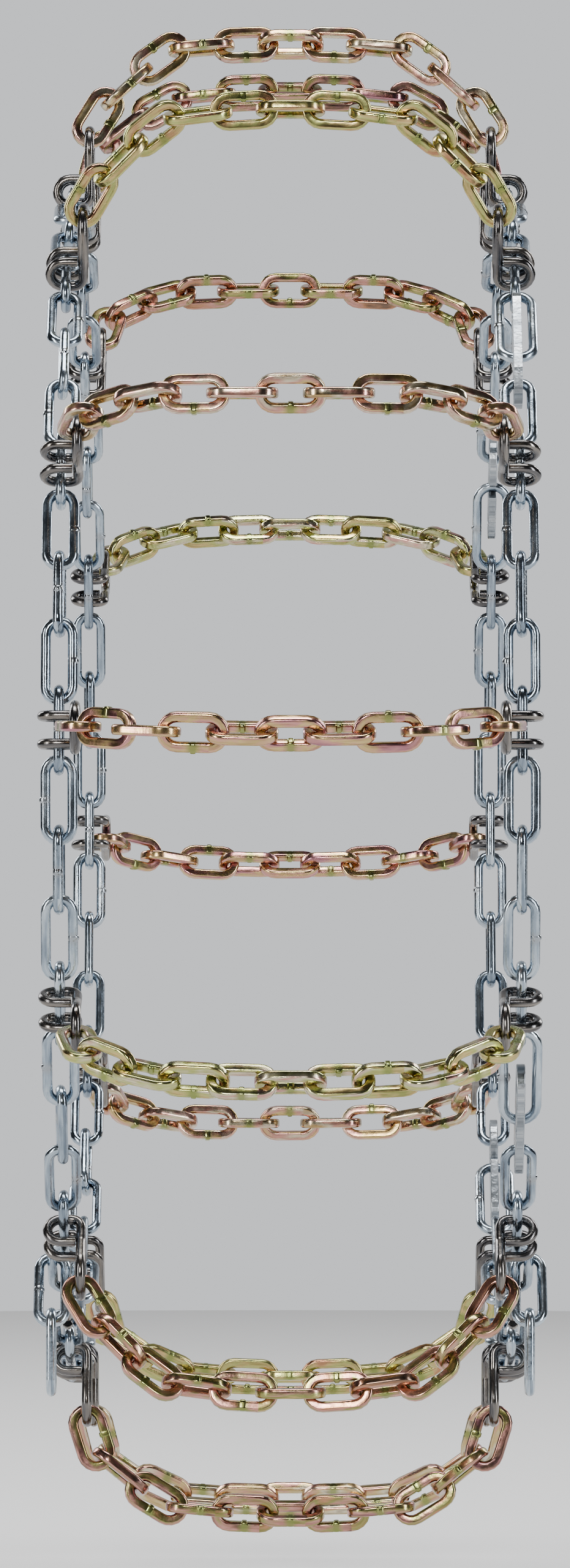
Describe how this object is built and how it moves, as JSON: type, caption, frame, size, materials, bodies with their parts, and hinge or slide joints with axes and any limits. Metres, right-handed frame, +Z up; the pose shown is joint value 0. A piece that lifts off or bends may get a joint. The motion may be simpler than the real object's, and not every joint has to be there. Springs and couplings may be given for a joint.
{
  "type": "tire snow chains",
  "caption": "Ladder-type snow chain for a truck tire, shown as worn: two side chains, square-link cross chains on double-pronged hooks, and flat tightening cams.",
  "frame": {"origin": "the middle of the tire that the chain is worn on, on its axle", "axes": "+X is the axle, towards the outer side with the cams; +Z is up; the first seven cross chains are on the -Y side"},
  "size_m": [0.3586, 1.0993, 1.0956],
  "materials": {
    "zinc_steel": "bright zinc plate, glossy, slightly blue",
    "gold_zinc_steel": "yellow chromate over zinc, glossy, iridescent gold, rose and green",
    "dark_steel": "dark gun-metal, glossy",
    "cam_plate_zinc": "zinc-plated plate with sheared edges"
  },
  "bodies": {
    "side_chains": {"inner_side_chain_1": "zinc_steel", "inner_side_chain_2": "zinc_steel", "inner_side_chain_3": "zinc_steel", "inner_side_chain_4": "zinc_steel", "inner_side_chain_5": "zinc_steel", "inner_side_chain_6": "zinc_steel", "inner_side_chain_7": "zinc_steel", "outer_side_chain_1": "zinc_steel", "outer_side_chain_2": "zinc_steel", "outer_side_chain_3": "zinc_steel", "outer_side_chain_4": "zinc_steel", "outer_side_chain_5": "zinc_steel", "outer_side_chain_6": "zinc_steel", "outer_side_chain_7": "zinc_steel", "cam_link_1": "zinc_steel", "cam_link_2": "zinc_steel", "cam_link_3": "zinc_steel", "cam_link_4": "zinc_steel", "inner_closing_hook": "dark_steel", "outer_closing_hook": "dark_steel"},
    "hooks_01": {"hooks_01": "dark_steel"},
    "cross_chain_01": {"cross_chain_01": "gold_zinc_steel"},
    "hooks_02": {"hooks_02": "dark_steel"},
    "cross_chain_02": {"cross_chain_02": "gold_zinc_steel"},
    "hooks_03": {"hooks_03": "dark_steel"},
    "cross_chain_03": {"cross_chain_03": "gold_zinc_steel"},
    "hooks_04": {"hooks_04": "dark_steel"},
    "cross_chain_04": {"cross_chain_04": "gold_zinc_steel"},
    "hooks_05": {"hooks_05": "dark_steel"},
    "cross_chain_05": {"cross_chain_05": "gold_zinc_steel"},
    "hooks_06": {"hooks_06": "dark_steel"},
    "cross_chain_06": {"cross_chain_06": "gold_zinc_steel"},
    "hooks_07": {"hooks_07": "dark_steel"},
    "cross_chain_07": {"cross_chain_07": "gold_zinc_steel"},
    "hooks_08": {"hooks_08": "dark_steel"},
    "cross_chain_08": {"cross_chain_08": "gold_zinc_steel"},
    "hooks_09": {"hooks_09": "dark_steel"},
    "cross_chain_09": {"cross_chain_09": "gold_zinc_steel"},
    "hooks_10": {"hooks_10": "dark_steel"},
    "cross_chain_10": {"cross_chain_10": "gold_zinc_steel"},
    "hooks_11": {"hooks_11": "dark_steel"},
    "cross_chain_11": {"cross_chain_11": "gold_zinc_steel"},
    "hooks_12": {"hooks_12": "dark_steel"},
    "cross_chain_12": {"cross_chain_12": "gold_zinc_steel"},
    "hooks_13": {"hooks_13": "dark_steel"},
    "cross_chain_13": {"cross_chain_13": "gold_zinc_steel"},
    "hooks_14": {"hooks_14": "dark_steel"},
    "cross_chain_14": {"cross_chain_14": "gold_zinc_steel"},
    "cam_1": {"cam_1": "cam_plate_zinc"},
    "cam_2": {"cam_2": "cam_plate_zinc"},
    "cam_3": {"cam_3": "cam_plate_zinc"},
    "cam_4": {"cam_4": "cam_plate_zinc"},
    "inner_tail_1": {"inner_tail_1": "zinc_steel"},
    "inner_tail_2": {"inner_tail_2": "zinc_steel"},
    "outer_tail_1": {"outer_tail_1": "zinc_steel"},
    "outer_tail_2": {"outer_tail_2": "zinc_steel"}
  },
  "joints": [
    {"name": "hooks_01_tip", "type": "hinge", "parent": "side_chains", "child": "hooks_01", "pos_m": [0, -0.05643, 0.42847], "axis": [1, 0, 0], "range_deg": [-1.5, 7.12]},
    {"name": "cross_chain_01_sway", "type": "hinge", "parent": "hooks_01", "child": "cross_chain_01", "pos_m": [0, -0.05752, 0.47325], "axis": [1, 0, 0], "range_deg": [-7, 7]},
    {"name": "hooks_02_tip", "type": "hinge", "parent": "side_chains", "child": "hooks_02", "pos_m": [0, -0.23674, 0.36156], "axis": [1, 0, 0], "range_deg": [-1.5, 7.12]},
    {"name": "cross_chain_02_sway", "type": "hinge", "parent": "hooks_02", "child": "cross_chain_02", "pos_m": [0, -0.25716, 0.40143], "axis": [1, 0, 0], "range_deg": [-7, 7]},
    {"name": "hooks_03_tip", "type": "hinge", "parent": "side_chains", "child": "hooks_03", "pos_m": [0, -0.3722, 0.21961], "axis": [1, 0, 0], "range_deg": [-10.12, 5.88]},
    {"name": "cross_chain_03_sway", "type": "hinge", "parent": "hooks_03", "child": "cross_chain_03", "pos_m": [0, -0.41155, 0.24102], "axis": [1, 0, 0], "range_deg": [-7, 7]},
    {"name": "hooks_04_tip", "type": "hinge", "parent": "side_chains", "child": "hooks_04", "pos_m": [0, -0.43062, 0.03644], "axis": [1, 0, 0], "range_deg": [-9.97, 6.03]},
    {"name": "cross_chain_04_sway", "type": "hinge", "parent": "hooks_04", "child": "cross_chain_04", "pos_m": [0, -0.47536, 0.03878], "axis": [1, 0, 0], "range_deg": [-7, 7]},
    {"name": "hooks_05_tip", "type": "hinge", "parent": "side_chains", "child": "hooks_05", "pos_m": [0, -0.40388, -0.15375], "axis": [1, 0, 0], "range_deg": [-9.36, 6.64]},
    {"name": "cross_chain_05_sway", "type": "hinge", "parent": "hooks_05", "child": "cross_chain_05", "pos_m": [0, -0.44539, -0.17061], "axis": [1, 0, 0], "range_deg": [-7, 7]},
    {"name": "hooks_06_tip", "type": "hinge", "parent": "side_chains", "child": "hooks_06", "pos_m": [0, -0.29546, -0.31539], "axis": [1, 0, 0], "range_deg": [-7.12, 1.5]},
    {"name": "cross_chain_06_sway", "type": "hinge", "parent": "hooks_06", "child": "cross_chain_06", "pos_m": [0, -0.32244, -0.35116], "axis": [1, 0, 0], "range_deg": [-7, 7]},
    {"name": "hooks_07_tip", "type": "hinge", "parent": "side_chains", "child": "hooks_07", "pos_m": [0, -0.13035, -0.41203], "axis": [1, 0, 0], "range_deg": [-11.39, 3.77]},
    {"name": "cross_chain_07_sway", "type": "hinge", "parent": "hooks_07", "child": "cross_chain_07", "pos_m": [0, -0.14087, -0.45558], "axis": [1, 0, 0], "range_deg": [-7, 7]},
    {"name": "hooks_08_tip", "type": "hinge", "parent": "side_chains", "child": "hooks_08", "pos_m": [0, 0.0605, -0.4279], "axis": [1, 0, 0], "range_deg": [-10.42, 5.58]},
    {"name": "cross_chain_08_sway", "type": "hinge", "parent": "hooks_08", "child": "cross_chain_08", "pos_m": [0, 0.06853, -0.47198], "axis": [1, 0, 0], "range_deg": [-7, 7]},
    {"name": "hooks_09_tip", "type": "hinge", "parent": "side_chains", "child": "hooks_09", "pos_m": [0, 0.23855, -0.36036], "axis": [1, 0, 0], "range_deg": [-6.19, 9.81]},
    {"name": "cross_chain_09_sway", "type": "hinge", "parent": "hooks_09", "child": "cross_chain_09", "pos_m": [0, 0.26215, -0.39843], "axis": [1, 0, 0], "range_deg": [-7, 7]},
    {"name": "hooks_10_tip", "type": "hinge", "parent": "side_chains", "child": "hooks_10", "pos_m": [0, 0.37199, -0.21997], "axis": [1, 0, 0], "range_deg": [-9.21, 6.79]},
    {"name": "cross_chain_10_sway", "type": "hinge", "parent": "hooks_10", "child": "cross_chain_10", "pos_m": [0, 0.41099, -0.242], "axis": [1, 0, 0], "range_deg": [-7, 7]},
    {"name": "hooks_11_tip", "type": "hinge", "parent": "side_chains", "child": "hooks_11", "pos_m": [0, 0.43043, -0.03859], "axis": [1, 0, 0], "range_deg": [-5.28, 10.72]},
    {"name": "cross_chain_11_sway", "type": "hinge", "parent": "hooks_11", "child": "cross_chain_11", "pos_m": [0, 0.47483, -0.04458], "axis": [1, 0, 0], "range_deg": [-7, 7]},
    {"name": "hooks_12_tip", "type": "hinge", "parent": "side_chains", "child": "hooks_12", "pos_m": [0, 0.40381, 0.15394], "axis": [1, 0, 0], "range_deg": [-9.81, 6.19]},
    {"name": "cross_chain_12_sway", "type": "hinge", "parent": "hooks_12", "child": "cross_chain_12", "pos_m": [0, 0.44518, 0.17114], "axis": [1, 0, 0], "range_deg": [-7, 7]},
    {"name": "hooks_13_tip", "type": "hinge", "parent": "side_chains", "child": "hooks_13", "pos_m": [0, 0.29809, 0.31289], "axis": [1, 0, 0], "range_deg": [-6.64, 9.36]},
    {"name": "cross_chain_13_sway", "type": "hinge", "parent": "hooks_13", "child": "cross_chain_13", "pos_m": [0, 0.32971, 0.34464], "axis": [1, 0, 0], "range_deg": [-7, 7]},
    {"name": "hooks_14_tip", "type": "hinge", "parent": "side_chains", "child": "hooks_14", "pos_m": [0, 0.13088, 0.41186], "axis": [1, 0, 0], "range_deg": [-11.02, 4.98]},
    {"name": "cross_chain_14_sway", "type": "hinge", "parent": "hooks_14", "child": "cross_chain_14", "pos_m": [0, 0.14232, 0.45518], "axis": [1, 0, 0], "range_deg": [-7, 7]},
    {"name": "cam_1_turn", "type": "hinge", "parent": "side_chains", "child": "cam_1", "pos_m": [0.15725, -0.32045, 0.27681], "axis": [1, 0, 0], "range_deg": [0, 75]},
    {"name": "cam_2_turn", "type": "hinge", "parent": "side_chains", "child": "cam_2", "pos_m": [0.15725, -0.34118, -0.25082], "axis": [1, 0, 0], "range_deg": [0, 75]},
    {"name": "cam_3_turn", "type": "hinge", "parent": "side_chains", "child": "cam_3", "pos_m": [0.15725, 0.32045, -0.27681], "axis": [1, 0, 0], "range_deg": [0, 75]},
    {"name": "cam_4_turn", "type": "hinge", "parent": "side_chains", "child": "cam_4", "pos_m": [0.15725, 0.34118, 0.25082], "axis": [1, 0, 0], "range_deg": [0, 75]},
    {"name": "inner_tail_1_swing", "type": "hinge", "parent": "side_chains", "child": "inner_tail_1", "pos_m": [-0.1665, -0.2551, -0.33731], "axis": [0, 0.7976, -0.6032], "range_deg": [-5, 40]},
    {"name": "inner_tail_2_swing", "type": "hinge", "parent": "inner_tail_1", "child": "inner_tail_2", "pos_m": [-0.1665, -0.28375, -0.37519], "axis": [1, 0, 0], "range_deg": [-20, 20]},
    {"name": "outer_tail_1_swing", "type": "hinge", "parent": "side_chains", "child": "outer_tail_1", "pos_m": [0.1665, -0.2551, -0.33731], "axis": [0, -0.7976, 0.6032], "range_deg": [-5, 40]},
    {"name": "outer_tail_2_swing", "type": "hinge", "parent": "outer_tail_1", "child": "outer_tail_2", "pos_m": [0.1665, -0.28375, -0.37519], "axis": [1, 0, 0], "range_deg": [-20, 20]}
  ]
}
